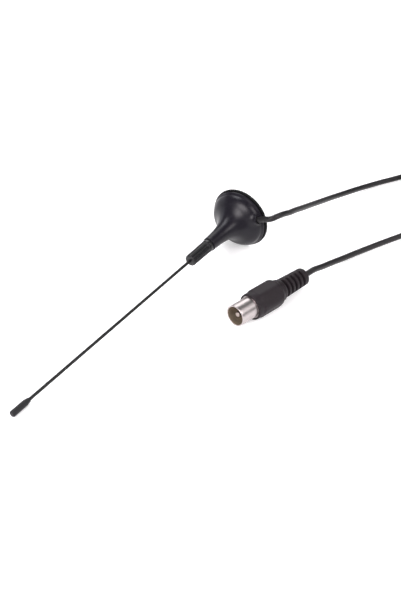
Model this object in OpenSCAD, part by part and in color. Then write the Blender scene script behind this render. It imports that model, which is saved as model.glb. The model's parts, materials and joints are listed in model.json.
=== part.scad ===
// Magnetic mount whip antenna with a coaxial lead and an aerial plug.
// Modelled lying on its side, on the rim of its base and the cap of its whip.
// The base, whip and ferrule are drawn along their own axis, from the magnet
// face (z = 0) to the tip, and then laid down together.

/* [Base] */
// Outer diameter of the retaining ring
ring_d = 29.2; // [26:0.2:40]
// Height of the retaining ring
ring_h = 1.3; // [1:0.1:2]
// Rounding of the ring's outer edges
ring_edge_r = 0.4; // [0.2:0.05:0.6]
// Gap between the ring and the lip of the shell
ring_gap = 0.6; // [0.3:0.1:1]
// How far the shell's lower lip sits inside the ring's edge
lip_inset = 0.6; // [0.4:0.05:1.2]
// Height of the straight lower lip
lip_h = 0.5; // [0.3:0.1:1]
// Width of the bevel above the lip
bevel_w = 0.8; // [0.2:0.05:1]
// Height of the bevel above the lip
bevel_h = 1; // [0.5:0.1:1.5]
// Height of the rounded shoulder
shoulder_h = 3.6; // [2.5:0.1:5]
// Inward run of the rounded shoulder
shoulder_w = 3; // [2:0.1:5]
// Wall of the shell
shell_wall = 1.5; // [1.2:0.1:1.8]
// Length over which the trumpet flare dies away
flare_len = 4.7; // [3.5:0.1:6]
// Radius of the neck above the flare
neck_r = 3.15; // [3.1:0.05:3.8]
// Height of the top of the neck above the magnet face
neck_top = 27; // [24:0.1:32]

/* [Magnet] */
// Width of the ring around the magnet
magnet_rim = 3.6; // [3.2:0.1:5]
// Thickness of the magnet
magnet_h = 2; // [1.4:0.1:2.2]
// Thickness of the pad under the magnet
pad_h = 0.4; // [0.3:0.1:0.6]
// How far the pad stands out below the ring
pad_proud = 0.15; // [0.1:0.05:0.3]
// Thickness of the steel pole plate
pole_h = 0.5; // [0.3:0.1:0.6]

/* [Whip] */
// Overall height from magnet face to tip
antenna_l = 157; // [120:0.5:220]
// Diameter of the whip
whip_d = 1.35; // [1:0.05:1.6]
// Diameter of the tip cap
cap_d = 2.7; // [2.6:0.1:4.5]
// Overall length of the tip cap
cap_l = 9.8; // [9:0.1:18]
// Length of the cap's taper
cap_taper_l = 2.2; // [2:0.1:5]
// Depth of the whip's end inside the cap
cap_hold = 6.5; // [5:0.5:8]

/* [Ferrule] */
// Height of the top of the ferrule above the magnet face
ferrule_top = 41.9; // [36:0.1:50]
// Radius of the plain ring below the flutes
collar_r = 2.9; // [2.8:0.05:3.4]
// Height of the plain ring
collar_h = 1.6; // [1:0.1:2.5]
// Width of the grooves beside the plain ring
groove_w = 0.4; // [0.3:0.05:0.8]
// Radius at the bottom of those grooves
groove_r = 2.5; // [2.35:0.05:2.7]
// Radius of the fluted part at its lower end
flute_low_r = 2.85; // [2.8:0.05:3.4]
// Radius of the fluted part at its outer end
flute_top_r = 2.75; // [2.6:0.05:3.2]
// Rounding of the ferrule's outer end
ferrule_end_r = 1.2; // [0.8:0.1:1.5]
// Number of lengthwise flutes
flute_count = 18; // [12:1:24]
// Radius of the cutter of one flute
flute_cut_r = 0.34; // [0.2:0.02:0.4]
// Radius of the threaded stud
stud_r = 1.5; // [1.35:0.05:1.6]
// Radius of the brass contact bush in the neck
bush_r = 2.3; // [2.1:0.05:2.4]
// Length of the brass contact bush
bush_l = 10.5; // [8:0.5:12]

/* [Lead] */
// Diameter of the coaxial lead
lead_d = 2.7; // [2.2:0.1:3]
// Height of the lead's outlet above the magnet face
outlet_z = 4.6; // [4.5:0.1:5.2]
// Place of the outlet round the base, from the side that faces the floor
outlet_angle = 112; // [95:1:130]
// Radius of the hooded outlet boss
boss_r = 2.2; // [1.9:0.05:2.4]
// How far the boss's mouth sits inside the ring's edge
boss_inset = 1.3; // [1:0.1:1.9]
// Height of the wound lead
coil_h = 10.8; // [8:0.1:14]
// Mean radius of the wound lead
coil_mean_r = 15.4; // [14:0.1:17]
// Radial width of the wound lead
coil_w = 11.2; // [9:0.1:12]
// Width of the tie on the coil
tie_w = 3; // [2:0.5:5]
// Thickness of the tie
tie_h = 0.6; // [0.4:0.1:0.8]

/* [Plug] */
// Outer diameter of the plug's sleeve
sleeve_d = 9.5; // [9.4:0.05:9.6]
// Wall of the sleeve
sleeve_wall = 0.55; // [0.4:0.05:0.8]
// Length of sleeve outside the body
sleeve_l = 9.1; // [7.5:0.1:10.5]
// Diameter of the centre pin
pin_d = 2.36; // [2.3:0.02:2.42]
// How far the pin's tip sits back from the sleeve's edge
pin_recess = 1.3; // [0.5:0.1:2]
// Radius of the round collar at the front of the body
nose_r = 6; // [5.8:0.05:6.6]
// Length of the round collar at the front of the body
nose_l = 3; // [2:0.1:6]
// Distance of the grip's flats from the axis
grip_flat_r = 6.05; // [6:0.05:7]
// Radius of the grip at the corners between the flats
grip_r = 6.5; // [6.4:0.05:7.4]
// Length of the body from its front face to the shoulder
grip_end = 15.1; // [13:0.1:22]
// Length of the tapered shoulder
taper_l = 4.3; // [3.5:0.1:8]
// Length of the ribbed tail
tail_l = 15.4; // [10:0.1:18]
// Radius of the tail beside the shoulder
tail_front_r = 4.5; // [4.2:0.05:5]
// Radius of the tail at the lead
tail_end_r = 4; // [3.6:0.05:4.5]
// Number of slots in the tail
slot_count = 5; // [3:1:6]
// Width of each slot
slot_w = 1.2; // [0.8:0.1:1.5]
// Radius at the bottom of the slots
slot_r = 2.9; // [2.6:0.05:3.2]
// Width of the web that joins the ribs
web_w = 3.8; // [2.5:0.1:4.5]

/* [Hidden] */
$fn = 64;

// Clearances and small named values
push_gap = 0.02;
thread_gap = 0.05;
slide_gap = 0.1;
cut_over = 1;
wire_r = 0.3;
lead_r = lead_d / 2;
whip_r = whip_d / 2;
cap_r = cap_d / 2;
ring_r = ring_d / 2;
magnet_r = ring_r - magnet_rim;
lip_r = ring_r - lip_inset;
boss_reach = ring_r - boss_inset;
boss_bore_r = lead_r + slide_gap;

// Heights in the base
lip_low = ring_h + ring_gap;
lip_top = lip_low + lip_h;
bevel_top = lip_top + bevel_h;
bevel_top_r = lip_r - bevel_w;
shoulder_top = bevel_top + shoulder_h;
shoulder_top_r = bevel_top_r - shoulder_w;
flare_drop = shoulder_top_r - neck_r;
magnet_low = pad_h;
magnet_top = magnet_low + magnet_h;
pole_top = magnet_top + pole_h;
cavity_top = 10;
cavity_r = lip_r - shell_wall;
spigot_r = cavity_r - slide_gap;
spigot_top = pole_top - slide_gap;
ring_bore_r = magnet_r + slide_gap;

// Heights in the neck and ferrule
ferrule_low = neck_top;
collar_low = ferrule_low + groove_w;
collar_top = collar_low + collar_h;
flute_low = collar_top + groove_w;
bush_recess = 0.4;
stud_engaged_l = 9;
stud_end_gap = 0.5;
stud_low = neck_top - stud_engaged_l;
stud_flange_r = 1.9;
stud_flange_h = 0.8;
stud_neck_r = 1.3;
stud_rise = 2.4;
stud_top = flute_low + stud_rise;
rod_socket_l = 3;
rod_low = stud_top - rod_socket_l;
bush_top = neck_top - bush_recess;
bush_low = bush_top - bush_l;
bush_tag_r = 0.9;
bush_tag_h = 1.8;
cap_low = antenna_l - cap_l;
rod_top = cap_low + cap_hold;
cap_lip = 0.25;

// How the antenna lies: the ring's front edge and the tip cap both touch z = 0
edge_up = ring_r - ring_edge_r;
edge_along = antenna_l - cap_r - (ring_h - ring_edge_r);
dip = acos((cap_r - ring_edge_r) / norm([edge_along, edge_up])) - atan2(edge_along, edge_up);
base_height = ring_edge_r + (ring_h - ring_edge_r) * sin(dip) + edge_up * cos(dip);
back_x = (ring_edge_r + pad_proud) * cos(dip) - edge_up * sin(dip) - ring_edge_r;
front_x = (antenna_l - cap_r) * cos(dip) + cap_r;
base_x = -(back_x + front_x) / 2;
lean = 90 + dip;

// A point along the antenna's own axis, taken to where it lies
function laid(p) = [
    base_x + sin(lean) * p.z + cos(lean) * p.x,
    p.y,
    base_height + cos(lean) * p.z - sin(lean) * p.x
];

// The lead's outlet and its direction, where the antenna lies
outlet_dir_up = [cos(outlet_angle), sin(outlet_angle), 0];
outlet_point = laid(boss_reach * outlet_dir_up + [0, 0, outlet_z]);
outlet_dir = laid(outlet_dir_up) - laid([0, 0, 0]);

// The plug's front edge and heading on the floor
plug_angle = -9.7;
plug_front = [-17.8, 36.3];
plug_height = grip_flat_r;
body_l = grip_end + taper_l + tail_l;
plug_dir = [cos(plug_angle), sin(plug_angle), 0];
plug_face = [plug_front.x, plug_front.y, plug_height] - sleeve_l * plug_dir;
plug_tail = plug_face - body_l * plug_dir;

// The coil's place and the radius of the turn that the lead joins
coil_x = -182;
coil_y = 62;
coil_outer_r = coil_mean_r + coil_w / 2;
coil_inner_r = coil_mean_r - coil_w / 2;
join_r = coil_outer_r - lead_r - slide_gap;
coil_round = 1.2;
coil_slack = 0.3;
tie_angle = 225;

// Routes of the lead, chosen by hand; their ends come from the outlet, coil and plug
route_from_base = concat(
    [for (d = [0, 2, 4]) outlet_point + d * outlet_dir],
    [for (step = [[0.4, 6.9, 2.8], [-2.2, 8.8, 3.6], [-6.4, 9.6, 3.2], [-11.4, 9.8, 1.8]])
        outlet_point + step],
    [
        [-90.5, 21.6, 19.2], [-98, 21.1, 16.9], [-106, 20.5, 14.5], [-114, 20, 12.2], [-122, 19.6, 9.9],
        [-130, 19.4, 7.8], [-138, 19.6, 5.8], [-146, 20.2, 4.1], [-154, 21.4, 2.8], [-162, 23.5, 1.9],
        [-170, 26.6, 1.5], [-178, 30.6, 1.4], [-186.2, 34.7, 1.35], [-193.8, 39.4, 1.35], [-199.3, 45.3, 1.35],
        [-201.45, 51.8, 1.35]
    ],
    [for (d = [5, 0]) [coil_x - join_r, coil_y - d, lead_r]]
);
exit_z = coil_h - lead_r;
route_to_plug = concat(
    [for (d = [0, 4, 8]) [coil_x + d, coil_y + join_r, exit_z]],
    [
        [-169.8, 81.3, 8.9], [-163.4, 80, 7.1], [-156.6, 77.2, 5], [-149.5, 73.2, 3.2], [-142, 68.8, 2],
        [-134.5, 64.6, 1.5], [-127.4, 61, 1.35], [-120.7, 58.2, 1.35], [-114.2, 55.7, 1.4], [-108, 53.4, 1.4],
        [-102, 51.3, 1.5], [-95.6, 49.4, 1.8], [-88.8, 47.8, 2.4], [-81.5, 46.5, 3.5], [-74.5, 45.7, 4.8]
    ],
    [for (d = [8, 4, 0]) plug_tail - d * plug_dir]
);
rings_per_step = 2;
tube_sides = 8;

// Smooth curve through four points
function blend4(a, b, c, d, t) = 0.5 * (
    2 * b + (c - a) * t + (2 * a - 5 * b + 4 * c - d) * t * t + (3 * b - a - 3 * c + d) * t * t * t
);

function route_at(route, i) =
    i < 0 ? 2 * route[0] - route[1]
    : i > len(route) - 1 ? 2 * route[len(route) - 1] - route[len(route) - 2]
    : route[i];

function smooth_route(route) = concat(
    [for (i = [0 : len(route) - 2], s = [0 : rings_per_step - 1])
        blend4(route_at(route, i - 1), route[i], route[i + 1], route_at(route, i + 2), s / rings_per_step)],
    [route[len(route) - 1]]
);

function unit(v) = v / norm(v);

function ring_at(path, i, r) =
    let (
        before = path[max(i - 1, 0)],
        after = path[min(i + 1, len(path) - 1)],
        along = unit(after - before),
        side = unit(cross(along, [0, 0, 1])),
        up = cross(side, along)
    )
    [for (k = [0 : tube_sides - 1])
        let (a = (k + 0.5) * 360 / tube_sides)
        path[i] + r * (cos(a) * side + sin(a) * up)];

// A tube swept along a smooth route
module swept_tube(route, r) {
    path = smooth_route(route);
    last = len(path) - 1;
    points = [for (i = [0 : last]) each ring_at(path, i, r)];
    walls = [for (i = [0 : last - 1], k = [0 : tube_sides - 1])
        let (next = (k + 1) % tube_sides, low = i * tube_sides, high = (i + 1) * tube_sides)
        [low + k, high + k, high + next, low + next]];
    start_cap = [for (k = [0 : tube_sides - 1]) k];
    end_cap = [for (k = [tube_sides - 1 : -1 : 0]) last * tube_sides + k];
    polyhedron(points, concat(walls, [start_cap], [end_cap]));
}

// Places the antenna's pieces, drawn upright on their own axis
module lay() {
    translate([base_x, 0, base_height]) rotate([0, lean, 0]) children();
}

// Places the plug's pieces, drawn with the body's front face at z = 0
module at_plug() {
    translate(plug_face) rotate([0, 0, plug_angle]) rotate([0, 90, 0]) children();
}

// Turns a piece drawn along +Z to point out of the lead's outlet
module at_outlet(distance) {
    translate([0, 0, outlet_z]) rotate([0, 0, outlet_angle]) rotate([0, 90, 0])
        translate([0, 0, distance]) children();
}

module tube(r_out, r_in, h) {
    difference() {
        cylinder(r = r_out, h = h);
        translate([0, 0, -cut_over]) cylinder(r = r_in, h = h + 2 * cut_over);
    }
}

// Outer radius of the shell at a height above the bevel: a round shoulder, then a flare
shoulder_slope = 0.2;
function shoulder_r(z) =
    let (t = (z - bevel_top) / shoulder_h)
    bevel_top_r - shoulder_w * (shoulder_slope * t + (1 - shoulder_slope) * t * t);

function flare_r(z) = neck_r + flare_drop * exp(-(z - shoulder_top) / flare_len);

function shell_r(z) = z < shoulder_top ? shoulder_r(z) : flare_r(z);

shoulder_steps = 6;
flare_steps = 18;
flare_crowding = 1.5;
cavity_steps = 8;
shoulder_profile = [
    for (i = [1 : shoulder_steps])
        let (z = bevel_top + shoulder_h * i / shoulder_steps)
        [shoulder_r(z), z]
];
flare_profile = [
    for (i = [1 : flare_steps])
        let (z = shoulder_top + (neck_top - shoulder_top) * pow(i / flare_steps, flare_crowding))
        [flare_r(z), z]
];

cavity_profile = [
    for (i = [0 : cavity_steps])
        let (z = bevel_top + (cavity_top - bevel_top) * i / cavity_steps)
        [shell_r(z) - shell_wall, z]
];

module base_shell() {
    color([0.10, 0.10, 0.11]) lay() difference() {
        union() {
            rotate_extrude() polygon(concat(
                [[0, lip_low], [lip_r, lip_low], [lip_r, lip_top], [bevel_top_r, bevel_top]],
                shoulder_profile,
                flare_profile,
                [[0, neck_top]]
            ));
            intersection() {
                at_outlet(0) cylinder(r = boss_r, h = boss_reach);
                translate([0, 0, lip_low]) cylinder(r = ring_r, h = neck_top);
            }
        }
        rotate_extrude() polygon(concat(
            [[0, lip_low - cut_over], [cavity_r, lip_low - cut_over], [cavity_r, pole_top]],
            cavity_profile,
            [[0, cavity_top]]
        ));
        cylinder(r = bush_r + push_gap, h = neck_top + cut_over);
        at_outlet(magnet_r / 2) cylinder(r = boss_bore_r, h = ring_r);
    }
}

module base_ring() {
    color([0.05, 0.05, 0.05]) lay() difference() {
        union() {
            rotate_extrude() union() {
                translate([0, pad_proud]) square([ring_r - ring_edge_r, ring_h - pad_proud]);
                translate([0, pad_proud + ring_edge_r]) square([ring_r, ring_h - pad_proud - 2 * ring_edge_r]);
                translate([ring_r - ring_edge_r, pad_proud + ring_edge_r]) circle(r = ring_edge_r);
                translate([ring_r - ring_edge_r, ring_h - ring_edge_r]) circle(r = ring_edge_r);
            }
            cylinder(r = spigot_r, h = spigot_top);
        }
        translate([0, 0, -cut_over]) cylinder(r = ring_bore_r, h = spigot_top + 2 * cut_over);
    }
}

module face_pad() {
    color([0.08, 0.08, 0.08]) lay() cylinder(r = magnet_r, h = pad_h);
}

module magnet() {
    color([0.25, 0.25, 0.27]) lay() translate([0, 0, magnet_low]) cylinder(r = magnet_r, h = magnet_h);
}

module pole_plate() {
    color([0.6, 0.6, 0.62]) lay() translate([0, 0, magnet_top]) cylinder(r = magnet_r, h = pole_h);
}

module contact_bush() {
    color([0.78, 0.62, 0.3]) lay() difference() {
        union() {
            translate([0, 0, bush_low]) cylinder(r = bush_r, h = bush_l);
            translate([0, 0, bush_low - bush_tag_h]) cylinder(r = bush_tag_r, h = bush_tag_h);
        }
        translate([0, 0, stud_low - stud_end_gap]) cylinder(r = stud_r + thread_gap, h = bush_l);
        translate([0, 0, bush_low - bush_tag_h - cut_over])
            cylinder(r = wire_r + push_gap, h = bush_tag_h + cut_over);
    }
}

module whip_stud() {
    color([0.78, 0.62, 0.3]) lay() difference() {
        union() {
            translate([0, 0, stud_low]) cylinder(r = stud_r, h = ferrule_low - stud_low);
            translate([0, 0, ferrule_low]) cylinder(r = stud_flange_r, h = stud_flange_h);
            translate([0, 0, ferrule_low]) cylinder(r = stud_neck_r, h = stud_top - ferrule_low);
        }
        translate([0, 0, rod_low]) cylinder(r = whip_r + push_gap, h = stud_top - rod_low + cut_over);
    }
}

// The moulded grip: plain ring between two grooves, then tapered flutes and a round end
module whip_ferrule() {
    flute_h = ferrule_top - flute_low;
    taper_angle = atan2(flute_low_r - flute_top_r, flute_h);
    round_low = ferrule_top - ferrule_end_r;
    color([0.08, 0.08, 0.09]) lay() difference() {
        union() {
            translate([0, 0, ferrule_low]) cylinder(r = groove_r, h = flute_low - ferrule_low);
            translate([0, 0, collar_low]) cylinder(r = collar_r, h = collar_h);
            intersection() {
                translate([0, 0, flute_low]) cylinder(r1 = flute_low_r, r2 = flute_top_r, h = flute_h);
                rotate_extrude() union() {
                    square([flute_top_r - ferrule_end_r, ferrule_top]);
                    square([flute_low_r + cut_over, round_low]);
                    translate([flute_top_r - ferrule_end_r, round_low]) circle(r = ferrule_end_r);
                }
            }
        }
        for (i = [0 : flute_count - 1])
            rotate([0, 0, (i + 0.5) * 360 / flute_count]) translate([flute_low_r, 0, flute_low + groove_w])
                rotate([0, -taper_angle, 0]) cylinder(r = flute_cut_r, h = flute_h + cut_over);
        translate([0, 0, ferrule_low - cut_over])
            cylinder(r = stud_flange_r + push_gap, h = cut_over + stud_flange_h + push_gap);
        translate([0, 0, ferrule_low])
            cylinder(r = stud_neck_r + push_gap, h = stud_top - ferrule_low + push_gap);
        translate([0, 0, ferrule_low]) cylinder(r = whip_r + push_gap, h = ferrule_top);
    }
}

module whip_rod() {
    color([0.06, 0.06, 0.06]) lay() translate([0, 0, rod_low])
        cylinder(r = whip_r, h = rod_top - rod_low, $fn = 32);
}

module tip_cap() {
    color([0.07, 0.07, 0.07]) lay() difference() {
        rotate_extrude() union() {
            polygon([
                [0, cap_low], [whip_r + cap_lip, cap_low], [cap_r, cap_low + cap_taper_l],
                [cap_r, antenna_l - cap_r], [0, antenna_l - cap_r]
            ]);
            intersection() {
                translate([0, antenna_l - cap_r]) circle(r = cap_r);
                translate([0, antenna_l - cap_r]) square(cap_r);
            }
        }
        translate([0, 0, cap_low - cut_over])
            cylinder(r = whip_r + push_gap, h = cap_hold + cut_over + push_gap);
    }
}

// Distance of the crimp from the axis of the base, its length and its wall
crimp_inner = magnet_r - 6;
crimp_l = 3;
crimp_wall = 0.3;

module lead_in_base() {
    color([0.05, 0.05, 0.05]) lay() at_outlet(crimp_inner)
        cylinder(r = lead_r, h = boss_reach - crimp_inner, $fn = 32);
}

module inner_crimp() {
    color([0.7, 0.7, 0.72]) lay() at_outlet(crimp_inner) difference() {
        cylinder(r = lead_r + crimp_wall, h = crimp_l);
        translate([0, 0, -cut_over]) cylinder(r = lead_r, h = crimp_l + 2 * cut_over);
    }
}

module feed_wire() {
    rise = bush_low - outlet_z;
    color([0.8, 0.5, 0.3]) lay() union() {
        at_outlet(0) cylinder(r = wire_r, h = crimp_inner, $fn = 24);
        translate([0, 0, outlet_z]) sphere(r = wire_r, $fn = 24);
        translate([0, 0, outlet_z]) cylinder(r = wire_r, h = rise, $fn = 24);
    }
}

// A bent tab over the crimp, soldered to the pole plate on both sides
module ground_saddle() {
    tab_h = 0.3;
    tab_w = 1.8;
    foot_l = 1.2;
    inside_r = lead_r + crimp_wall;
    outside_r = inside_r + tab_h;
    foot_r = outside_r + foot_l;
    plate_drop = outlet_z - pole_top;
    color([0.75, 0.55, 0.35]) lay() rotate([0, 0, outlet_angle])
        translate([crimp_inner + crimp_l / 2 + tab_w / 2, 0, outlet_z]) rotate([0, -90, 0]) difference() {
            union() {
                cylinder(r = outside_r, h = tab_w);
                translate([-plate_drop, -outside_r, 0]) cube([plate_drop, 2 * outside_r, tab_w]);
                translate([-plate_drop, -foot_r, 0]) cube([tab_h, 2 * foot_r, tab_w]);
            }
            translate([0, 0, -cut_over]) cylinder(r = inside_r, h = tab_w + 2 * cut_over);
            translate([-plate_drop - outside_r, -inside_r, -cut_over])
                cube([plate_drop + outside_r, 2 * inside_r, tab_w + 2 * cut_over]);
            translate([-plate_drop - 2 * outside_r, -2 * foot_r, -cut_over])
                cube([2 * outside_r, 4 * foot_r, tab_w + 2 * cut_over]);
        }
}

module lead_from_base() {
    color([0.05, 0.05, 0.05]) swept_tube(route_from_base, lead_r);
}

module lead_to_plug() {
    color([0.05, 0.05, 0.05]) swept_tube(route_to_plug, lead_r);
}

module lead_coil() {
    notch = lead_d + coil_slack;
    flat_w = coil_w - 2 * coil_round;
    flat_h = coil_h - 2 * coil_round;
    color([0.06, 0.06, 0.06]) difference() {
        translate([coil_x, coil_y, 0]) rotate_extrude() intersection() {
            translate([coil_inner_r, 0]) square([coil_w, coil_h]);
            union() {
                translate([coil_inner_r, coil_round]) square([coil_w, flat_h]);
                translate([coil_inner_r + coil_round, 0]) square([flat_w, coil_h]);
                for (x = [0, flat_w], y = [0, flat_h])
                    translate([coil_inner_r + coil_round + x, coil_round + y]) circle(r = coil_round, $fn = 24);
            }
        }
        translate([coil_x - coil_outer_r - cut_over, coil_y - coil_outer_r, -cut_over])
            cube([cut_over + notch + slide_gap, coil_outer_r, notch + cut_over]);
        translate([coil_x, coil_y + coil_outer_r - notch - slide_gap, coil_h - notch])
            cube([coil_outer_r, notch + cut_over + slide_gap, notch + cut_over]);
        at_tie(tie_w + slide_gap) difference() {
            translate([-cut_over, 0, -cut_over])
                cube([coil_w + 2 * cut_over, tie_w + slide_gap, coil_h + 2 * cut_over]);
            tie_core(tie_w + slide_gap);
        }
    }
}

// Places a block of the given width across the coil, where the tie is
module at_tie(w) {
    translate([coil_x, coil_y, 0]) rotate([0, 0, tie_angle]) translate([coil_inner_r, -w / 2, 0]) children();
}

// What the tie holds: the coil's section, less the tie's thickness all round
module tie_core(w) {
    translate([tie_h, -cut_over, tie_h]) cube([coil_w - 2 * tie_h, w + 2 * cut_over, coil_h - 2 * tie_h]);
}

module coil_tie() {
    color([0.12, 0.12, 0.12]) at_tie(tie_w) difference() {
        cube([coil_w, tie_w, coil_h]);
        tie_core(tie_w);
    }
}

// Depths inside the plug, measured back from the body's front face
sleeve_hidden_l = 9;
sleeve_r = sleeve_d / 2;
sleeve_root_step = 0.4;
sleeve_root_r = sleeve_r + sleeve_root_step;
sleeve_in_r = sleeve_r - sleeve_wall;
sleeve_lip = 0.2;
root_recess = 0.4;
undercut_r = sleeve_r - sleeve_wall / 2;
undercut_top = 0.1;
insulator_low = -7;
insulator_top = -1.2;
pin_low = -8.5;
pin_top = sleeve_l - pin_recess;
pin_cup_depth = 3;
pin_r = pin_d / 2;
pin_step = 0.2;
pin_rear_r = pin_r - pin_step;
plug_crimp_l = 7;
plug_crimp_top = -11.5;
plug_crimp_r = 2.3;
lead_end_top = -10.5;

// The sleeve, with a wider root held in the body and an undercut where it leaves it
module plug_sleeve() {
    color([0.8, 0.78, 0.76]) at_plug() rotate_extrude() polygon([
        [sleeve_in_r, -sleeve_hidden_l], [sleeve_root_r, -sleeve_hidden_l], [sleeve_root_r, -root_recess],
        [undercut_r, -root_recess], [undercut_r, undercut_top], [sleeve_r, undercut_top],
        [sleeve_r, sleeve_l - sleeve_lip], [sleeve_r - sleeve_lip, sleeve_l], [sleeve_in_r, sleeve_l]
    ]);
}

module plug_pin() {
    color([0.82, 0.8, 0.78]) at_plug() difference() {
        union() {
            translate([0, 0, pin_low]) cylinder(r = pin_rear_r, h = insulator_top - pin_low);
            translate([0, 0, insulator_top]) cylinder(r = pin_r, h = pin_top - pin_r - insulator_top);
            translate([0, 0, pin_top - pin_r]) sphere(r = pin_r);
        }
        translate([0, 0, pin_low - cut_over]) cylinder(r = wire_r + push_gap, h = pin_cup_depth + cut_over);
    }
}

module plug_insulator() {
    color([0.75, 0.72, 0.65]) at_plug() translate([0, 0, insulator_low])
        tube(sleeve_in_r, pin_rear_r, insulator_top - insulator_low);
}

module plug_crimp() {
    color([0.7, 0.7, 0.72]) at_plug() translate([0, 0, plug_crimp_top - plug_crimp_l])
        tube(plug_crimp_r, lead_r, plug_crimp_l);
}

module plug_core() {
    color([0.8, 0.5, 0.3]) at_plug() translate([0, 0, lead_end_top])
        cylinder(r = wire_r, h = pin_low + pin_cup_depth - lead_end_top, $fn = 24);
}

module lead_in_plug() {
    color([0.05, 0.05, 0.05]) at_plug() translate([0, 0, -body_l])
        cylinder(r = lead_r, h = lead_end_top + body_l, $fn = 32);
}

// Six flats on a round grip, each flat ending in a curve on the tapered shoulder
module grip_flats() {
    flat_end = grip_end + taper_l / 2;
    nose_step = 0.4;
    intersection_for (i = [0 : 2])
        rotate([0, 0, i * 60]) translate([-grip_flat_r, -grip_r - cut_over, -flat_end - taper_l])
            cube([2 * grip_flat_r, 2 * (grip_r + cut_over), flat_end + taper_l - nose_step]);
}

// The moulded body: round nose, six-sided grip, tapered shoulder and ribbed tail
module plug_body() {
    nose_round = 0.7;
    grip_round = 0.6;
    tail_round = 0.6;
    shoulder_low = -grip_end - taper_l;
    knee_in = 0.65;
    knee_back = 0.45;
    shoulder_knee = [grip_r - knee_in * (grip_r - tail_front_r), -grip_end - knee_back * taper_l];
    shoulder_foot = 0.5;
    slot_start = 0.5;
    tail_plain_l = 1.9;
    slot_pitch = (tail_l - tail_plain_l) / slot_count;
    web_angle = 25;
    web_reach = tail_front_r + 2 * cut_over;
    color([0.16, 0.15, 0.16]) at_plug() difference() {
        union() {
            rotate_extrude() union() {
                translate([0, -nose_l - grip_round]) square([nose_r, nose_l + grip_round - nose_round]);
                translate([0, -nose_round]) square([nose_r - nose_round, nose_round]);
                translate([nose_r - nose_round, -nose_round]) intersection() {
                    circle(r = nose_round);
                    square(nose_round);
                }
            }
            intersection() {
                rotate_extrude() polygon([
                    [0, -nose_l], [nose_r, -nose_l], [grip_r, -nose_l - grip_round], [grip_r, -grip_end],
                    shoulder_knee, [tail_front_r + shoulder_foot, shoulder_low + shoulder_foot],
                    [tail_front_r, shoulder_low], [0, shoulder_low]
                ]);
                grip_flats();
            }
            difference() {
                rotate_extrude() polygon([
                    [0, shoulder_low], [tail_front_r, shoulder_low], [tail_end_r, -body_l + tail_round],
                    [tail_end_r - tail_round, -body_l], [0, -body_l]
                ]);
                for (i = [0 : slot_count - 1])
                    translate([0, 0, shoulder_low - slot_start - slot_w - i * slot_pitch]) difference() {
                        tube(web_reach - cut_over, slot_r, slot_w);
                        rotate([0, 0, web_angle]) translate([-web_reach, -web_w / 2, -cut_over])
                            cube([2 * web_reach, web_w, slot_w + 2 * cut_over]);
                    }
            }
        }
        translate([0, 0, -sleeve_hidden_l])
            cylinder(r = sleeve_root_r + push_gap, h = sleeve_hidden_l + cut_over);
        translate([0, 0, lead_end_top]) cylinder(r = lead_r, h = -sleeve_hidden_l - lead_end_top + cut_over);
        translate([0, 0, plug_crimp_top - plug_crimp_l]) cylinder(r = plug_crimp_r, h = plug_crimp_l);
        translate([0, 0, -body_l - cut_over]) cylinder(r = lead_r, h = body_l + lead_end_top + cut_over);
    }
}

base_shell();
base_ring();
face_pad();
magnet();
pole_plate();
contact_bush();
whip_stud();
whip_ferrule();
whip_rod();
tip_cap();
feed_wire();
ground_saddle();
inner_crimp();
lead_in_base();
lead_from_base();
lead_coil();
coil_tie();
lead_to_plug();
lead_in_plug();
plug_sleeve();
plug_pin();
plug_insulator();
plug_crimp();
plug_core();
plug_body();
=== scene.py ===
import json
import math

import bmesh
import bpy
from mathutils import Matrix, Vector


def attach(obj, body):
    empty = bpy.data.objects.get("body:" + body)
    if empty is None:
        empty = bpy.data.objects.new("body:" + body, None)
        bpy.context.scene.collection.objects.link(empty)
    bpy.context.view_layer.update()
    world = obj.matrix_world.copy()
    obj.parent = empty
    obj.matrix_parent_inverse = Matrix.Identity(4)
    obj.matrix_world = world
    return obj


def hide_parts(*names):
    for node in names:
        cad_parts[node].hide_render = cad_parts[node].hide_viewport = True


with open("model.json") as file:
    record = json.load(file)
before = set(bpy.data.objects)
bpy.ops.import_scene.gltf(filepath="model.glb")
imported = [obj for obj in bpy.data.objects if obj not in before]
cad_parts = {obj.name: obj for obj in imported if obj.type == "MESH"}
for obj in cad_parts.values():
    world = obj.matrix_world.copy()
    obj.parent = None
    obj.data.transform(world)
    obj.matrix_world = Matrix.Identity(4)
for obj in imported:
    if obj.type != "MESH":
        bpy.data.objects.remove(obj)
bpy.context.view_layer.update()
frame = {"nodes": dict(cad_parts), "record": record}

# Lengths are in millimetres, apart from the lights', and MM turns them into Blender's metres
MM = 0.001
mounts = {m["name"]: m for m in frame["record"]["mounts"]}

# Camera, fitted to the rim, the whip and the plug in the photograph
PHOTO_HEIGHT_PX = 601
FOCAL_PX = 1030
SENSOR_MM = 36
CAMERA_PLACE = (280.55, 228.94, 251.9)
CAMERA_AIM = (-0.6788, -0.4785, -0.557)
CAMERA_NEAR_M = 0.01
CAMERA_FAR_M = 10

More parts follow.
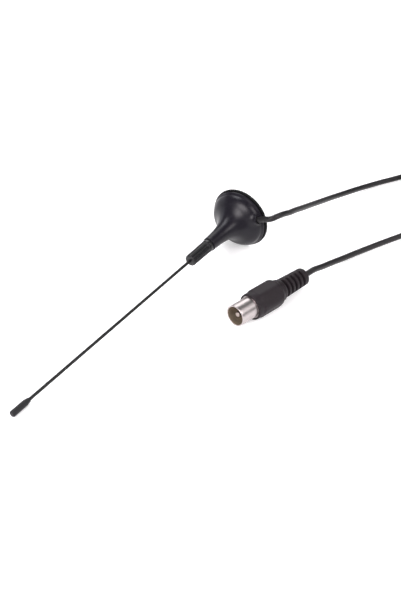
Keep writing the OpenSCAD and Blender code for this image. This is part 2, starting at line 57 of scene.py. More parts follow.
# The lead: its size, its route and its coil
LEAD_D = 2.7
OUTLET_Z = 4.6
OUTLET_ANGLE = 112
BOSS_REACH = 13.3
COIL_CENTRE = (-182, 62)
COIL_MEAN_R = 15.4
COIL_W = 11.2
COIL_H = 10.8
COIL_GAP = 0.1
COIL_REACH = COIL_W / 2 - LEAD_D / 2 - COIL_GAP
COIL_TURNS = 12.25
COIL_LAYERS = 4
COIL_START_ANGLE = 180
POINTS_PER_TURN = 40
TIE_ANGLE = 225
OUTLET_STEPS = [(0.4, 6.9, 2.8), (-2.2, 8.8, 3.6), (-6.4, 9.6, 3.2), (-11.4, 9.8, 1.8)]
ROUTE_FROM_BASE = [
    (-90.5, 21.6, 19.2), (-98, 21.1, 16.9), (-106, 20.5, 14.5), (-114, 20, 12.2), (-122, 19.6, 9.9),
    (-130, 19.4, 7.8), (-138, 19.6, 5.8), (-146, 20.2, 4.1), (-154, 21.4, 2.8), (-162, 23.5, 1.9),
    (-170, 26.6, 1.5), (-178, 30.6, 1.4), (-186.2, 34.7, 1.35), (-193.8, 39.4, 1.35), (-199.3, 45.3, 1.35),
    (-201.45, 51.8, 1.35),
]
ROUTE_TO_PLUG = [
    (-169.8, 81.3, 8.9), (-163.4, 80, 7.1), (-156.6, 77.2, 5), (-149.5, 73.2, 3.2), (-142, 68.8, 2),
    (-134.5, 64.6, 1.5), (-127.4, 61, 1.35), (-120.7, 58.2, 1.35), (-114.2, 55.7, 1.4), (-108, 53.4, 1.4),
    (-102, 51.3, 1.5), (-95.6, 49.4, 1.8), (-88.8, 47.8, 2.4), (-81.5, 46.5, 3.5), (-74.5, 45.7, 4.8),
]
STRAIGHT_FROM_OUTLET = (0, 2, 4)
STRAIGHT_TO_COIL = (5, 0)
STRAIGHT_FROM_COIL = (0, 4, 8)
STRAIGHT_TO_PLUG = (8, 4, 0)
STEPS_PER_POINT = 4

# The antenna, along its own axis from the magnet face
RING_R = 14.6
RING_H = 1.3
RING_EDGE_R = 0.4
RING_BORE_R = 11.1
SLIDE_GAP = 0.1
PAD_PROUD = 0.15
LIP_LOW = 1.9
LIP_R = 14
LIP_H = 0.5
BEVEL_W = 0.8
BEVEL_H = 1
SHOULDER_H = 3.6
SHOULDER_W = 3
SHOULDER_SLOPE = 0.2
FLARE_LEN = 4.7
SHELL_WALL = 1.5
CAVITY_TOP = 10
POLE_TOP = 2.9
NECK_R = 3.15
NECK_TOP = 27
BUSH_HOLE_R = 2.32
BOSS_R = 2.2
HOOD_FOOT = 1.4
ANTENNA_L = 157
WHIP_R = 0.675
WHIP_FIT = 0.02
CAP_R = 1.35
CAP_L = 9.8
CAP_TAPER_L = 2.2
CAP_HOLD = 6.5
CAP_LIP = 0.25
FERRULE_TOP = 41.9
COLLAR_R = 2.9
COLLAR_H = 1.6
GROOVE_W = 0.4
GROOVE_R = 2.5
FLUTE_LOW_R = 2.85
FLUTE_TOP_R = 2.75
FERRULE_END_R = 1.2
FLUTE_COUNT = 18
FLUTE_CUT_R = 0.34
STUD_FLANGE_R = 1.92
STUD_FLANGE_H = 0.82
STUD_NECK_R = 1.32
STUD_TOP = 31.82
WHIP_LOW = 28.8

# The plug, along its own axis from the body's front face
SLEEVE_L = 9.1
SLEEVE_R = 4.75
SLEEVE_WALL = 0.55
ROOT_R = 5.15
ROOT_RECESS = 0.4
UNDERCUT_R = 4.475
UNDERCUT_TOP = 0.1
SLEEVE_LOW = -9
SLEEVE_BORE_R = SLEEVE_R - SLEEVE_WALL
PIN_R = 1.18
PIN_TOP = SLEEVE_L - 1.3
PIN_FOOT_R = 0.98
PIN_FOOT_TOP = -1.2
PIN_LOW = -8.5
PIN_CUP_TOP = -5.5
CORE_R = 0.32
INSULATOR_LOW = -7
INSULATOR_TOP = -1.6
INSULATOR_STEP_R = 2.6
CRIMP_R = 2.3
CRIMP_TOP = -11.5
CRIMP_LOW = -18.5
NOSE_R = 6
NOSE_L = 3
GRIP_FLAT_R = 6.05
GRIP_R = 6.5
GRIP_END = 15.1
TAPER_L = 4.3
TAIL_L = 15.4
TAIL_FRONT_R = 4.5
TAIL_END_R = 4
SLOT_COUNT = 5
SLOT_W = 1.2
SLOT_R = 2.9
SLOT_START = 0.5
WEB_W = 3.8
WEB_ANGLE = 25
SHOULDER_STEP = 0.5
TAPER_KNEE = 0.45
TAPER_DROP = 1.3
NOSE_SLOPE_L = 0.6
NOSE_EDGE_R = 0.7
TAIL_EDGE_R = 0.6
TAIL_PLAIN_L = 1.9

# How finely the pieces are divided: sides round the axis, and the longest stretch along the outline
SHELL_SIDES = 256
SHELL_STRETCH = 0.6
HOOD_SIDES = 96
RING_SIDES = 192
SIDES_PER_FLUTE = 14
FERRULE_STRETCH = 0.22
WHIP_SIDES = 32
WHIP_STRETCH = 2
CAP_SIDES = 64
CAP_STRETCH = 0.6
BODY_SIDES = 192
SLEEVE_SIDES = 128
SLEEVE_STRETCH = 1.5
PIN_SIDES = 64
PIN_STRETCH = 1
INSULATOR_SIDES = 96


# Frames of the antenna and the plug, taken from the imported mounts

def antenna_frame():
    face = mounts["magnet_face"]
    along = -Vector(face["axis"])
    across = Vector((0, 1, 0))
    down = across.cross(along)
    turn = Matrix((down, across, along)).transposed().to_4x4()
    return Matrix.Translation(Vector(face["pos_m"])) @ turn


def plug_frame():
    sleeve = mounts["plug_sleeve_outside"]
    along = Vector(sleeve["axis"])
    half_wall = sleeve["dims"]["length_mm"] / 2 * MM
    across = Vector((0, 0, 1)).cross(along)
    down = across.cross(along)
    turn = Matrix((down, across, along)).transposed().to_4x4()
    return Matrix.Translation(Vector(sleeve["pos_m"]) - (half_wall + UNDERCUT_TOP * MM) * along) @ turn


ANTENNA = antenna_frame()
PLUG = plug_frame()


# Camera

def make_camera():
    data = bpy.data.cameras.new("camera")
    data.sensor_width = SENSOR_MM
    data.lens = FOCAL_PX * SENSOR_MM / PHOTO_HEIGHT_PX
    data.clip_start = CAMERA_NEAR_M
    data.clip_end = CAMERA_FAR_M
    camera = bpy.data.objects.new("camera", data)
    bpy.context.scene.collection.objects.link(camera)
    camera.location = Vector(CAMERA_PLACE) * MM
    camera.rotation_mode = "QUATERNION"
    camera.rotation_quaternion = Vector(CAMERA_AIM).to_track_quat("-Z", "Y")
    bpy.context.scene.camera = camera


# The lead's route

def smooth_route(points, steps):
    """Points on a smooth curve through the given ones."""
    ends = [2 * points[0] - points[1], *points, 2 * points[-1] - points[-2]]
    found = []
    for a, b, c, d in zip(ends, ends[1:], ends[2:], ends[3:]):
        for k in range(steps):
            t = k / steps
            bend = (2 * a - 5 * b + 4 * c - d) * t**2 + (3 * b - a - 3 * c + d) * t**3
            found.append(0.5 * (2 * b + (c - a) * t + bend))
    return [*found, points[-1]]


def smooth_step(x):
    """0 below 0, 1 above 1 and a soft rise between."""
    x = min(1.0, max(0.0, x))
    return x * x * (3 - 2 * x)


def coil_points():
    """The wound lead: layers of flat spirals, in and out, each a diameter above the last."""
    outer = COIL_MEAN_R + COIL_REACH
    inner = COIL_MEAN_R - COIL_REACH
    count = round(COIL_TURNS * POINTS_PER_TURN)
    layer_turns = COIL_TURNS / COIL_LAYERS
    climb_turns = 0.16
    squeeze = 0.15
    squeeze_angle = 7
    middle_z = COIL_H / 2
    cx, cy = COIL_CENTRE
    points = []
    for i in range(1, count):
        turn = COIL_TURNS * i / count
        layer = min(COIL_LAYERS - 1, int(turn / layer_turns))
        share = turn / layer_turns - layer
        radius = outer + (inner - outer) * (share if layer % 2 == 0 else 1 - share)
        level = 0.0
        for step in range(1, COIL_LAYERS):
            level += smooth_step((turn - step * layer_turns) / climb_turns + 0.5)
        z = LEAD_D / 2 + LEAD_D * level
        angle = COIL_START_ANGLE - 360 * turn
        # The tie pulls the turns together where it goes round them
        away = (angle - TIE_ANGLE + 180) % 360 - 180
        tight = 1 - squeeze * math.exp(-((away / squeeze_angle) ** 2))
        radius = COIL_MEAN_R + (radius - COIL_MEAN_R) * tight
        z = middle_z + (z - middle_z) * tight
        a = math.radians(angle)
        points.append(Vector((cx + radius * math.cos(a), cy + radius * math.sin(a), z)))
    return points


def outlet():
    """The mouth of the lead's outlet, and the direction it points in."""
    a = math.radians(OUTLET_ANGLE)
    direction = ANTENNA.to_3x3() @ Vector((math.cos(a), math.sin(a), 0))
    base = ANTENNA @ (Vector((0, 0, OUTLET_Z)) * MM) / MM
    return base + BOSS_REACH * direction, direction


def plug_tail():
    """The end of the plug's tail, and the direction that the plug points in."""
    direction = PLUG.to_3x3() @ Vector((0, 0, 1))
    return PLUG.translation / MM - (GRIP_END + TAPER_L + TAIL_L) * direction, direction


def lead_points():
    """The lead's whole route in metres: base, coil, plug."""
    mouth, out = outlet()
    tail, plug_dir = plug_tail()
    cx, cy = COIL_CENTRE
    join_r = COIL_MEAN_R + COIL_REACH
    low = LEAD_D / 2
    high = COIL_H - LEAD_D / 2
    first = [mouth + d * out for d in STRAIGHT_FROM_OUTLET]
    first += [mouth + Vector(step) for step in OUTLET_STEPS]
    first += [Vector(p) for p in ROUTE_FROM_BASE]
    first += [Vector((cx - join_r, cy - d, low)) for d in STRAIGHT_TO_COIL]
    last = [Vector((cx + d, cy + join_r, high)) for d in STRAIGHT_FROM_COIL]
    last += [Vector(p) for p in ROUTE_TO_PLUG]
    last += [tail - d * plug_dir for d in STRAIGHT_TO_PLUG]
    route = smooth_route(first, STEPS_PER_POINT) + coil_points() + smooth_route(last, STEPS_PER_POINT)
    return [p * MM for p in route]


def make_lead():
    route = lead_points()
    curve = bpy.data.curves.new("lead", "CURVE")
    curve.dimensions = "3D"
    curve.bevel_depth = 1  # Each point's radius scales it
    curve.bevel_resolution = 6
    curve.use_fill_caps = True
    spline = curve.splines.new("POLY")
    spline.points.add(len(route) - 1)
    for point, place in zip(spline.points, route):
        point.co = (*place, 1)
        point.radius = LEAD_D / 2 * MM
    spline.use_smooth = True
    lead = bpy.data.objects.new("lead", curve)
    bpy.context.scene.collection.objects.link(lead)
    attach(lead, "root")
    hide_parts("lead_from_base", "lead_coil", "lead_to_plug")
    return lead, route[0]


# Mesh helpers

MERGE_GAP = 0.0005
LEAST_EDGE = 0.0002


def new_piece(name, verts, faces, place, replaced, sharp_angle=40):
    """A piece from vertices in millimetres, smooth but for edges sharper than the angle in degrees."""
    mesh = bpy.data.meshes.new(name)
    mesh.from_pydata([Vector(v) * MM for v in verts], [], faces)
    tidy = bmesh.new()
    tidy.from_mesh(mesh)
    bmesh.ops.remove_doubles(tidy, verts=tidy.verts, dist=MERGE_GAP * MM)
    bmesh.ops.dissolve_degenerate(tidy, edges=tidy.edges, dist=LEAST_EDGE * MM)
    bmesh.ops.recalc_face_normals(tidy, faces=tidy.faces)
    tidy.to_mesh(mesh)
    tidy.free()
    mesh.shade_smooth()
    mesh.set_sharp_from_angle(angle=math.radians(sharp_angle))
    piece = bpy.data.objects.new(name, mesh)
    bpy.context.scene.collection.objects.link(piece)
    piece.matrix_world = place
    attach(piece, "root")
    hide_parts(*replaced)
    return piece


def rounded(corners, steps=5):
    """A closed outline from corners of radius, height and rounding. A rounded corner is an arc of steps."""
    outline = []
    most_of_side = 0.45
    count = len(corners)
    for i, (r, z, rounding) in enumerate(corners):
        here = Vector((r, z))
        if rounding <= 0:
            outline.append(here)
            continue
        before = Vector(corners[i - 1][:2]) - here
        after = Vector(corners[(i + 1) % count][:2]) - here
        half = before.angle(after) / 2
        cut = min(rounding / math.tan(half), most_of_side * before.length, most_of_side * after.length)
        radius = cut * math.tan(half)
        centre = here + (before.normalized() + after.normalized()).normalized() * radius / math.sin(half)
        start = here + before.normalized() * cut - centre
        end = here + after.normalized() * cut - centre
        sweep = start.angle_signed(end)
        for k in range(steps + 1):
            turned = start.copy()
            turned.rotate(Matrix.Rotation(-sweep * k / steps, 2))
            outline.append(centre + turned)
    return outline


def band(low, high, n):
    """The faces between two rings of n vertices that start at low and high."""
    return [(low + k, low + (k + 1) % n, high + (k + 1) % n, high + k) for k in range(n)]


def revolve(outline, angles, radius_at=None):
    """Vertices and faces of a closed outline turned about the z axis. radius_at may change a radius."""
    verts = []
    for r, z in outline:
        for a in angles:
            radius = radius_at(r, z, a) if radius_at else r
            verts.append((radius * math.cos(a), radius * math.sin(a), z))
    n = len(angles)
    starts = [n * i for i in range(len(outline))]
    faces = []
    for low, high in zip(starts, [*starts[1:], 0]):
        faces += band(low, high, n)
    return verts, faces


def even_angles(count):
    """Angles round a whole turn, in radians."""
    return [2 * math.pi * k / count for k in range(count)]


def split(outline, longest):
    """The closed outline with no stretch longer than the given length."""
    found = []
    for i, here in enumerate(outline):
        after = outline[(i + 1) % len(outline)]
        pieces = max(1, math.ceil((Vector(after) - Vector(here)).length / longest))
        found += [Vector(here).lerp(Vector(after), k / pieces) for k in range(pieces)]
    return found


# The base shell

BEVEL_TOP = LIP_LOW + LIP_H + BEVEL_H
BEVEL_TOP_R = LIP_R - BEVEL_W
SHOULDER_TOP = BEVEL_TOP + SHOULDER_H
FLARE_DROP = BEVEL_TOP_R - SHOULDER_W - NECK_R


def shell_r(z):
    """Outer radius of the shell above its bevel: a round shoulder, then the flare."""
    if z < SHOULDER_TOP:
        t = (z - BEVEL_TOP) / SHOULDER_H
        return BEVEL_TOP_R - SHOULDER_W * (SHOULDER_SLOPE * t + (1 - SHOULDER_SLOPE) * t * t)
    return NECK_R + FLARE_DROP * math.exp(-(z - SHOULDER_TOP) / FLARE_LEN)


def make_shell():
    shoulder_rows = 24
    flare_rows = 44
    flare_crowding = 1.4
    cavity_rows = 8
    outer = [(LIP_R, LIP_LOW, 0.15), (LIP_R, LIP_LOW + LIP_H, 0.1), (BEVEL_TOP_R, BEVEL_TOP, 0.12)]
    shoulder_z = [BEVEL_TOP + SHOULDER_H * k / shoulder_rows for k in range(1, shoulder_rows)]
    flare_h = NECK_TOP - SHOULDER_TOP
    flare_z = [SHOULDER_TOP + flare_h * (k / flare_rows) ** flare_crowding for k in range(flare_rows)]
    outer += [(shell_r(z), z, 0) for z in shoulder_z + flare_z]
    top = [(shell_r(NECK_TOP), NECK_TOP, 0.25), (BUSH_HOLE_R, NECK_TOP, 0.1), (BUSH_HOLE_R, CAVITY_TOP, 0)]
    cavity_h = CAVITY_TOP - BEVEL_TOP
    cavity_z = [CAVITY_TOP - cavity_h * k / cavity_rows for k in range(cavity_rows + 1)]
    inner = [(shell_r(z) - SHELL_WALL, z, 0) for z in cavity_z]
    inner += [(LIP_R - SHELL_WALL, POLE_TOP, 0), (LIP_R - SHELL_WALL, LIP_LOW, 0.1)]
    outline = split(rounded(outer + top + inner), SHELL_STRETCH)
    verts, faces = revolve(outline, even_angles(SHELL_SIDES))
    hood_verts, hood_faces = hood()
    faces += [tuple(len(verts) + i for i in face) for face in hood_faces]
    return new_piece("shell", verts + hood_verts, faces, ANTENNA, ["base_shell"], 30)


def hood():
    """The hood over the lead's outlet: a soft foot on the flank, a round wall and a countersunk mouth."""
    sides = HOOD_SIDES
    foot = HOOD_FOOT
    steps = 7
    edge = 0.3
    sink_r = LEAD_D / 2 + 0.4
    sink_depth = 0.45
    bore_r = LEAD_D / 2 + 0.1
    inside = 1.2
    lift = 0.01  # Keeps the foot clear of the flank
    apart = 0.0001  # Keeps the points apart where the foot meets the mouth's edge
    verts = []

    def flank(across, z):
        return math.sqrt(shell_r(max(z, BEVEL_TOP)) ** 2 - across**2)

    for k in range(sides):
        a = 2 * math.pi * k / sides
        ring = []
        for i in range(steps + 1):
            turn = math.pi / 2 * i / steps
            reach = BOSS_R + foot * (1 - math.sin(turn))
            z = OUTLET_Z + reach * math.sin(a)
            ring.append((reach, flank(reach * math.cos(a), z) + foot * (1 - math.cos(turn)) + lift))
        shoulder = BOSS_REACH - edge
        ring = [(reach, min(out, shoulder + apart * i)) for i, (reach, out) in enumerate(ring)]
        for i in range(steps + 1):
            turn = math.pi / 2 * i / steps
            ring.append((BOSS_R - edge * (1 - math.cos(turn)), shoulder + edge * math.sin(turn)))
        ring += [(sink_r, BOSS_REACH), (bore_r, BOSS_REACH - sink_depth), (bore_r, BOSS_REACH - inside)]
        ring.append((BOSS_R + foot, ring[0][1] - inside))
        for reach, out in ring:
            verts.append((reach * math.cos(a), OUTLET_Z + reach * math.sin(a), out))
    rows = len(verts) // sides
    faces = []
    for k in range(sides):
        here = rows * k
        beyond = rows * ((k + 1) % sides)
        for i in range(rows):
            after = (i + 1) % rows
            faces.append((here + i, beyond + i, beyond + after, here + after))
    out_a = math.radians(OUTLET_ANGLE)
    ahead = Vector((math.cos(out_a), math.sin(out_a), 0))
    beside = Vector((-math.sin(out_a), math.cos(out_a), 0))
    return [out * ahead + across * beside + Vector((0, 0, z)) for across, z, out in verts], faces


def make_ring():
    spigot_r = LIP_R - SHELL_WALL - SLIDE_GAP
    spigot_top = POLE_TOP - SLIDE_GAP
    outline = rounded([
        (RING_R, PAD_PROUD, RING_EDGE_R), (RING_R, RING_H, RING_EDGE_R), (spigot_r, RING_H, 0.1),
        (spigot_r, spigot_top, 0.1), (RING_BORE_R, spigot_top, 0.1), (RING_BORE_R, PAD_PROUD, 0.15),
    ])
    verts, faces = revolve(outline, even_angles(RING_SIDES))
    return new_piece("retaining_ring", verts, faces, ANTENNA, ["base_ring"])


# The ferrule, whip and tip cap

COLLAR_LOW = NECK_TOP + GROOVE_W
COLLAR_TOP = COLLAR_LOW + COLLAR_H
FLUTE_LOW = COLLAR_TOP + GROOVE_W


def flute_depth(z, a):
    """How deep the flutes cut at a height and an angle. Each is a round groove that runs in softly."""
    start = FLUTE_LOW + GROOVE_W
    run_in = 0.5
    pitch = 2 * math.pi / FLUTE_COUNT
    side = a % pitch - pitch / 2
    across = abs(side) * (FLUTE_LOW_R + FLUTE_TOP_R) / 2
    if across >= FLUTE_CUT_R:
        return 0.0
    depth = math.sqrt(FLUTE_CUT_R**2 - across**2)
    return depth * smooth_step((z - start) / run_in + 0.5)


def make_ferrule():
    bore = WHIP_R + WHIP_FIT
    flange_top = NECK_TOP + STUD_FLANGE_H
    outline = split(rounded([
        (STUD_FLANGE_R, NECK_TOP, 0), (GROOVE_R, NECK_TOP, 0), (GROOVE_R, COLLAR_LOW, 0.12),
        (COLLAR_R, COLLAR_LOW, 0.2), (COLLAR_R, COLLAR_TOP, 0.2), (GROOVE_R, COLLAR_TOP, 0.12),
        (GROOVE_R, FLUTE_LOW, 0.12), (FLUTE_LOW_R, FLUTE_LOW, 0.2),
        (FLUTE_TOP_R, FERRULE_TOP, FERRULE_END_R), (bore, FERRULE_TOP, 0.15), (bore, STUD_TOP, 0),
        (STUD_NECK_R, STUD_TOP, 0), (STUD_NECK_R, flange_top, 0), (STUD_FLANGE_R, flange_top, 0),
    ], 8), FERRULE_STRETCH)

    def fluted(r, z, a):
        # The flutes cut from the tapered wall, so the rounded end keeps its own radius where it is less
        cut = flute_depth(z, a) if z > FLUTE_LOW else 0
        share = (z - FLUTE_LOW) / (FERRULE_TOP - FLUTE_LOW)
        return min(r, FLUTE_LOW_R + (FLUTE_TOP_R - FLUTE_LOW_R) * share - cut) if cut > 0 else r

    verts, faces = revolve(outline, even_angles(FLUTE_COUNT * SIDES_PER_FLUTE), fluted)
    return new_piece("ferrule", verts, faces, ANTENNA, ["whip_ferrule"], 50)


def make_whip():
    low = WHIP_LOW
    top = ANTENNA_L - CAP_L + CAP_HOLD
    corners = [(0, low, 0), (WHIP_R, low, 0.1), (WHIP_R, top, 0.1), (0, top, 0)]
    outline = split(rounded(corners, 3), WHIP_STRETCH)
    verts, faces = revolve(outline, even_angles(WHIP_SIDES))
    return new_piece("whip", verts, faces, ANTENNA, ["whip_rod"])


def make_cap():
    low = ANTENNA_L - CAP_L
    bore = WHIP_R + WHIP_FIT
    lip = WHIP_R + CAP_LIP
    hold = low + CAP_HOLD + WHIP_FIT
    outline = split(rounded([
        (bore, low, 0.05), (lip, low, 0.12), (CAP_R, low + CAP_TAPER_L, 0.5),
        (CAP_R, ANTENNA_L, CAP_R - 0.01), (0, ANTENNA_L, 0), (0, hold, 0), (bore, hold, 0),
    ], 12), CAP_STRETCH)
    verts, faces = revolve(outline, even_angles(CAP_SIDES))
    return new_piece("cap", verts, faces, ANTENNA, ["tip_cap"], 50)


# The plug

BODY_L = GRIP_END + TAPER_L + TAIL_L
SHOULDER_LOW = -GRIP_END - TAPER_L


def hexagon_r(flat, corner, a):
    """Radius of a six-sided grip with rounded corners, in the direction a."""
    off = (a + math.pi / 6) % (math.pi / 3) - math.pi / 6
    side = flat / math.cos(off)
    soft = 0.12
    return -soft * math.log(math.exp(-side / soft) + math.exp(-corner / soft))


def outline_r(z):
    """Radius of the body before its flats and slots are cut."""
    points = [
        (-BODY_L, TAIL_END_R), (SHOULDER_LOW, TAIL_FRONT_R),
        (SHOULDER_LOW + SHOULDER_STEP, TAIL_FRONT_R + SHOULDER_STEP),
        (-GRIP_END - TAPER_L * TAPER_KNEE, GRIP_R - TAPER_DROP), (-GRIP_END, GRIP_R),
        (-NOSE_L - NOSE_SLOPE_L, GRIP_R), (-NOSE_L, NOSE_R), (0, NOSE_R),
    ]
    for (z0, r0), (z1, r1) in zip(points, points[1:]):
        if z <= z1:
            return r0 + (r1 - r0) * (z - z0) / (z1 - z0)
    return NOSE_R


def soft_outline_r(z):
    """The same, with its corners rounded off by an average over a short length."""
    reach = 0.45
    count = 6
    places = [max(-BODY_L, min(0, z + reach * k / count)) for k in range(-count, count + 1)]
    return sum(outline_r(p) for p in places) / len(places)


def slot_share(z, a):
    """How much of a slot is cut at a place on the tail, from 0 to 1."""
    pitch = (TAIL_L - TAIL_PLAIN_L) / SLOT_COUNT
    edge = 0.12
    along = 0.0
    for i in range(SLOT_COUNT):
        middle = SHOULDER_LOW - SLOT_START - SLOT_W / 2 - i * pitch
        along = max(along, smooth_step((SLOT_W / 2 - abs(z - middle)) / edge * 0.5 + 0.5))
    off = abs(TAIL_FRONT_R * math.sin(a - math.radians(WEB_ANGLE)))
    across = smooth_step((off - WEB_W / 2) / edge * 0.5 + 0.5)
    return along * across


def rounded_off(into_edge, edge_r):
    """How far a rounded edge draws a surface in, at a distance past the rounding's start."""
    return edge_r - math.sqrt(max(0, edge_r**2 - into_edge**2)) if into_edge > 0 else 0.0


def body_r(z, a):
    """Radius of the finished body: flats on the grip, round ends and slots in the tail."""
    # The flats fade in behind the nose and out before the tail
    front_start, front_run = 0.5 - NOSE_L, 0.6
    rear_start, rear_run = SHOULDER_LOW + 1, 1.5
    r = soft_outline_r(z)
    grip_share = smooth_step((front_start - z) / front_run) * smooth_step((z - rear_start) / rear_run)
    if grip_share > 0:
        r += grip_share * (hexagon_r(GRIP_FLAT_R, r, a) - r)
    r -= rounded_off(z + NOSE_EDGE_R, NOSE_EDGE_R)
    r -= rounded_off(-BODY_L + TAIL_EDGE_R - z, TAIL_EDGE_R)
    cut = slot_share(z, a)
    return r + cut * (min(SLOT_R, r) - r)


def make_plug_body():
    n = BODY_SIDES
    coarse = 0.22
    fine = 0.07
    fine_nose = 1
    fine_tail = 0.7
    bore_fit = 0.02
    rows = []
    z = -BODY_L
    while z < 0:
        rows.append(z)
        in_tail = z < SHOULDER_LOW
        near_end = z > -fine_nose or z < -BODY_L + fine_tail
        z += fine if near_end or in_tail else coarse
    rows.append(0)
    angles = even_angles(n)
    rings = [([body_r(z, a) for a in angles], z) for z in rows]
    bores = [
        (ROOT_R + bore_fit, 0), (ROOT_R + bore_fit, SLEEVE_LOW), (LEAD_D / 2, SLEEVE_LOW),
        (LEAD_D / 2, CRIMP_TOP), (CRIMP_R, CRIMP_TOP), (CRIMP_R, CRIMP_LOW), (LEAD_D / 2, CRIMP_LOW),
        (LEAD_D / 2, -BODY_L),
    ]
    rings += [([r] * n, z) for r, z in bores]
    verts = [(r * math.cos(a), r * math.sin(a), z) for radii, z in rings for r, a in zip(radii, angles)]
    starts = [n * i for i in range(len(rings))]
    faces = []
    for low, high in zip(starts, [*starts[1:], 0]):
        faces += band(low, high, n)
    return new_piece("plug_housing", verts, faces, PLUG, ["plug_body"], 50)


def make_sleeve():
    skin = 0.05  # The wall counts as inside up to this far out from the bore
    outline = split(rounded([
        (ROOT_R, SLEEVE_LOW, 0), (ROOT_R, -ROOT_RECESS, 0), (UNDERCUT_R, -ROOT_RECESS, 0),
        (UNDERCUT_R, UNDERCUT_TOP, 0), (SLEEVE_R, UNDERCUT_TOP, 0), (SLEEVE_R, SLEEVE_L, 0.22),
        (SLEEVE_BORE_R, SLEEVE_L, 0.2), (SLEEVE_BORE_R, SLEEVE_LOW, 0),
    ], 5), SLEEVE_STRETCH)
    verts, faces = revolve(outline, even_angles(SLEEVE_SIDES))
    piece = new_piece("sleeve", verts, faces, PLUG, ["plug_sleeve"], 40)
    # The bore's faces take the second material, the nickel copy with the insulator's reflection and light
    # painted in
    for face in piece.data.polygons:
        out = math.hypot(face.center.x, face.center.y)
        face.material_index = int(out < (SLEEVE_BORE_R + skin) * MM)
    return piece


def make_pin():
    outline = split(rounded([
        (0, PIN_CUP_TOP, 0), (CORE_R, PIN_CUP_TOP, 0), (CORE_R, PIN_LOW, 0), (PIN_FOOT_R, PIN_LOW, 0.1),
        (PIN_FOOT_R, PIN_FOOT_TOP, 0), (PIN_R, PIN_FOOT_TOP, 0), (PIN_R, PIN_TOP, PIN_R - 0.02),
        (0, PIN_TOP, 0),
    ], 10), PIN_STRETCH)
    verts, faces = revolve(outline, even_angles(PIN_SIDES))
    return new_piece("pin", verts, faces, PLUG, ["plug_pin"], 50)


def make_insulator():
    outline = rounded([
        (PIN_FOOT_R, INSULATOR_LOW, 0), (SLEEVE_BORE_R, INSULATOR_LOW, 0.1),
        (SLEEVE_BORE_R, INSULATOR_TOP, 0.1), (INSULATOR_STEP_R, INSULATOR_TOP, 0.1),
        (INSULATOR_STEP_R, PIN_FOOT_TOP, 0.12), (PIN_FOOT_R, PIN_FOOT_TOP, 0.05),
    ])
    verts, faces = revolve(outline, even_angles(INSULATOR_SIDES))
    return new_piece("insulator", verts, faces, PLUG, ["plug_insulator"], 40)


# Materials

ROUGHNESS_SWING = 0.05
GRAIN_DEPTH = 0.05


def material(
    name, base, roughness, metallic=0.0, mottle=0.12, mottle_scale=900, grain=0.05, grain_scale=9000, **more,
):
    """A moulded or metal surface: faint mottling in colour and gloss, and a fine grain as bump."""
    made = bpy.data.materials.new(name)
    made.use_nodes = True
    nodes = made.node_tree.nodes
    links = made.node_tree.links
    shader = nodes["Principled BSDF"]
    shader.inputs["Metallic"].default_value = metallic
    for key, value in more.items():
        shader.inputs[key.replace("_", " ")].default_value = value
    place = nodes.new("ShaderNodeTexCoord")
    cloud = nodes.new("ShaderNodeTexNoise")
    cloud.inputs["Scale"].default_value = mottle_scale
    cloud.inputs["Detail"].default_value = 4
    links.new(place.outputs["Object"], cloud.inputs["Vector"])
    colour = nodes.new("ShaderNodeValToRGB")
    colour.color_ramp.elements[0].position = 0.3
    colour.color_ramp.elements[1].position = 0.7
    colour.color_ramp.elements[0].color = (*[c * (1 - mottle) for c in base], 1)
    colour.color_ramp.elements[1].color = (*[c * (1 + mottle) for c in base], 1)
    links.new(cloud.outputs["Fac"], colour.inputs["Fac"])
    links.new(colour.outputs["Color"], shader.inputs["Base Color"])
    gloss = nodes.new("ShaderNodeMapRange")
    gloss.inputs["To Min"].default_value = roughness - ROUGHNESS_SWING
    gloss.inputs["To Max"].default_value = roughness + ROUGHNESS_SWING
    links.new(cloud.outputs["Fac"], gloss.inputs["Value"])
    links.new(gloss.outputs["Result"], shader.inputs["Roughness"])
    fine = nodes.new("ShaderNodeTexNoise")
    fine.inputs["Scale"].default_value = grain_scale
    fine.inputs["Detail"].default_value = 3
    links.new(place.outputs["Object"], fine.inputs["Vector"])
    bump = nodes.new("ShaderNodeBump")
    bump.inputs["Strength"].default_value = grain
    bump.inputs["Distance"].default_value = GRAIN_DEPTH * MM
    links.new(fine.outputs["Fac"], bump.inputs["Height"])
    links.new(bump.outputs["Normal"], shader.inputs["Normal"])
    return made


def dress(thing, *made):
    """Gives a piece its materials, and keeps which face has which."""
    indices = [face.material_index for face in thing.data.polygons] if thing.type == "MESH" else []
    slots = thing.data.materials
    slots.clear()
    for one in made:
        slots.append(one)
    if len(made) > 1:
        thing.data.polygons.foreach_set("material_index", indices)


# Stage and light

FLOOR_SIZE_M = 6
FLOOR_GLOW = 0.42


def make_stage():
    bpy.ops.mesh.primitive_plane_add(size=FLOOR_SIZE_M)
    floor = bpy.context.object
    floor.name = "floor"
    dress(floor, material(
        "floor_white", (0.8, 0.8, 0.8), 0.9, mottle=0.01, mottle_scale=3, grain=0.0, Specular_IOR_Level=0.1,
        Emission_Color=(1, 1, 1, 1), Emission_Strength=FLOOR_GLOW,
    ))


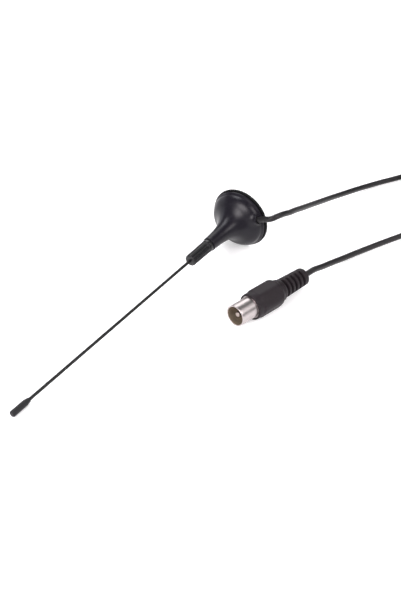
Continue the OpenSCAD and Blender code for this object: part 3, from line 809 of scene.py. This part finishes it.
# Each light's place, aim and size in metres, its power in watts and its colour. Each soft box stands
# where one of the highlights in the photograph is reflected from
WASH = ("wash", (0, 0.1, 1.3), (0, 0.1, 0), (2.8, 2.8), 4, (1, 1, 1))
SOFT_BOXES = [
    ("top_box", (-0.05, 0.8, 0.66), (-0.06, 0, 0), (0.7, 0.45), 5.4, (1, 0.95, 0.97)),
    ("far_box", (-0.5, 0.7, 0.6), (-0.03, 0.02, 0), (0.7, 0.6), 1.1, (1, 1, 1)),
    ("side_box", (-0.1, -1.2, 0.26), (-0.07, 0, 0.02), (1.2, 0.25), 2.2, (0.93, 0.93, 1)),
    ("band_box", (-0.15, -0.42, 0.93), (-0.07, 0, 0.02), (0.5, 0.4), 5, (0.95, 0.95, 1)),
    ("back_box", (-0.8, -0.5, 0.65), (-0.03, 0.02, 0), (0.6, 0.5), 3, (1, 1, 1)),
    ("front_box", (0.9, -0.25, 0.35), (-0.02, 0.03, 0), (0.5, 0.4), 0.7, (1, 1, 1)),
    ("flank_box", (0.76, 0.08, 0.53), (-0.07, 0, 0.02), (0.55, 0.38), 8.3, (1, 0.95, 0.98)),
]
WORLD_STRENGTH = 0.12


def area_light(name, place, aim, size, power, colour):
    data = bpy.data.lights.new(name, "AREA")
    data.shape = "RECTANGLE"
    data.size, data.size_y = size
    data.energy = power
    data.color = colour
    light = bpy.data.objects.new(name, data)
    bpy.context.scene.collection.objects.link(light)
    light.location = place
    light.rotation_mode = "QUATERNION"
    light.rotation_quaternion = (Vector(aim) - Vector(place)).to_track_quat("-Z", "Y")
    return light


def make_light():
    world = bpy.data.worlds.new("studio")
    world.use_nodes = True
    backdrop = world.node_tree.nodes["Background"]
    backdrop.inputs["Color"].default_value = (1, 1, 1, 1)
    backdrop.inputs["Strength"].default_value = WORLD_STRENGTH
    bpy.context.scene.world = world
    # The wash lights all from above without a reflection of its own
    area_light(*WASH).visible_glossy = False
    for box in SOFT_BOXES:
        area_light(*box)
    bpy.context.scene.view_settings.view_transform = "Standard"


make_camera()
lead, lead_exit = make_lead()
shell = make_shell()
ring = make_ring()
ferrule = make_ferrule()
whip = make_whip()
cap = make_cap()
plug_housing = make_plug_body()
sleeve = make_sleeve()
pin = make_pin()
insulator = make_insulator()

black_satin = material("black_satin", (0.0078, 0.0068, 0.0108), 0.34, Specular_IOR_Level=0.24)
black_ring = material("black_ring", (0.006, 0.006, 0.0068), 0.5, Specular_IOR_Level=0.15)
black_grip = material("black_grip", (0.009, 0.009, 0.0102), 0.3, Specular_IOR_Level=0.42)
black_cap = material("black_cap", (0.012, 0.012, 0.013), 0.45, Specular_IOR_Level=0.25)
black_coat = material("black_coat", (0.007, 0.007, 0.007), 0.4, Specular_IOR_Level=0.3)
jacket = material(
    "jacket", (0.0105, 0.0098, 0.0108), 0.4, grain=0.1, grain_scale=5000, Specular_IOR_Level=0.35,
)
grey_matt = material(
    "grey_matt", (0.0165, 0.0125, 0.0148), 0.55, grain=0.2, grain_scale=6000, Specular_IOR_Level=0.2,
)
nickel = material("nickel", (0.49, 0.445, 0.44), 0.36, metallic=1, mottle=0.03, grain=0.01)
pin_metal = material("pin_metal", (0.37, 0.315, 0.29), 0.42, metallic=1, mottle=0.03, grain=0.01)
# A copy of the nickel for the bore: browner and partly matt, a painted reflection of the brown insulator and
# painted light in the dark bore
nickel_painted_reflection = material("nickel_painted_reflection", (0.41, 0.34, 0.26), 0.5, metallic=0.7, mottle=0.06, grain=0.1)
dull_plastic = material("dull_plastic", (0.5, 0.38, 0.26), 0.5)
brass = material("brass", (0.7, 0.5, 0.2), 0.3, metallic=1)
steel = material("steel", (0.5, 0.5, 0.52), 0.35, metallic=1)
foam = material("foam", (0.02, 0.02, 0.02), 0.85, grain=0.6, grain_scale=3000)
nylon = material("nylon", (0.03, 0.03, 0.03), 0.4)

for thing, made in (
    (lead, jacket), (shell, black_satin), (ring, black_ring), (ferrule, black_grip), (whip, black_coat),
    (cap, black_cap), (plug_housing, grey_matt), (pin, pin_metal), (insulator, dull_plastic),
):
    dress(thing, made)
dress(sleeve, nickel, nickel_painted_reflection)
for name, made in (
    ("face_pad", foam), ("magnet", steel), ("pole_plate", steel), ("contact_bush", brass),
    ("whip_stud", brass), ("feed_wire", brass), ("ground_saddle", brass), ("inner_crimp", steel),
    ("lead_in_base", jacket), ("lead_in_plug", jacket), ("coil_tie", nylon), ("plug_crimp", steel),
    ("plug_core", brass),
):
    dress(frame["nodes"][name], made)

make_stage()
make_light()
